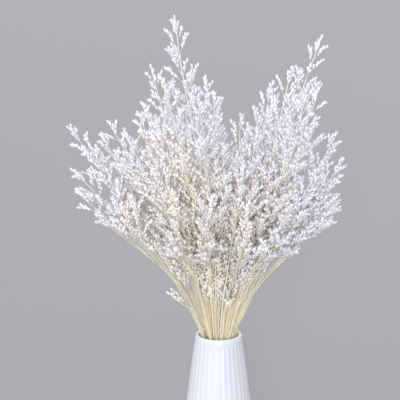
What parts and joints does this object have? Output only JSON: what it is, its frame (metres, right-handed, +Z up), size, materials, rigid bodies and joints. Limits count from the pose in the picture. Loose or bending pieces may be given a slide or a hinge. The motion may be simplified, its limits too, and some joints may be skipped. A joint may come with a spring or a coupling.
{
  "type": "bunch of preserved caspia in a vase",
  "caption": "Bleached, dried caspia stems with fine branched sprays of small white florets, fanned out of the mouth of a tall, tapering, fluted white vase.",
  "frame": {"origin": "centre of the vase's foot, on the surface it stands on", "axes": "+Z up the vase, +X to the right and -Y to the front, where the picture looks from"},
  "size_m": [0.2933, 0.2587, 0.5647],
  "materials": {
    "glaze": "smooth glossy white glaze",
    "dried_flower": "dry, matt, bleached florets on pale straw stems"
  },
  "bodies": {
    "root": {"vase": "glaze", "caspia_stem_01": "dried_flower", "caspia_stem_02": "dried_flower", "caspia_stem_03": "dried_flower", "caspia_stem_04": "dried_flower", "caspia_stem_05": "dried_flower", "caspia_stem_06": "dried_flower", "caspia_stem_07": "dried_flower", "caspia_stem_08": "dried_flower", "caspia_stem_09": "dried_flower", "caspia_stem_10": "dried_flower", "caspia_stem_11": "dried_flower", "caspia_stem_12": "dried_flower", "caspia_stem_13": "dried_flower", "caspia_stem_14": "dried_flower", "caspia_stem_15": "dried_flower", "caspia_stem_16": "dried_flower", "caspia_stem_17": "dried_flower", "caspia_stem_18": "dried_flower", "caspia_stem_19": "dried_flower", "caspia_stem_20": "dried_flower", "caspia_stem_21": "dried_flower", "caspia_stem_22": "dried_flower", "caspia_stem_23": "dried_flower", "caspia_stem_24": "dried_flower", "caspia_stem_25": "dried_flower", "caspia_stem_26": "dried_flower", "caspia_stem_27": "dried_flower", "caspia_stem_28": "dried_flower", "caspia_stem_29": "dried_flower", "caspia_stem_30": "dried_flower", "caspia_stem_31": "dried_flower", "caspia_stem_32": "dried_flower", "caspia_stem_33": "dried_flower", "caspia_stem_34": "dried_flower", "caspia_stem_35": "dried_flower", "caspia_stem_36": "dried_flower", "caspia_stem_37": "dried_flower", "caspia_stem_38": "dried_flower", "caspia_stem_39": "dried_flower", "caspia_stem_40": "dried_flower", "caspia_stem_41": "dried_flower", "caspia_stem_42": "dried_flower", "caspia_stem_43": "dried_flower"}
  },
  "joints": []
}
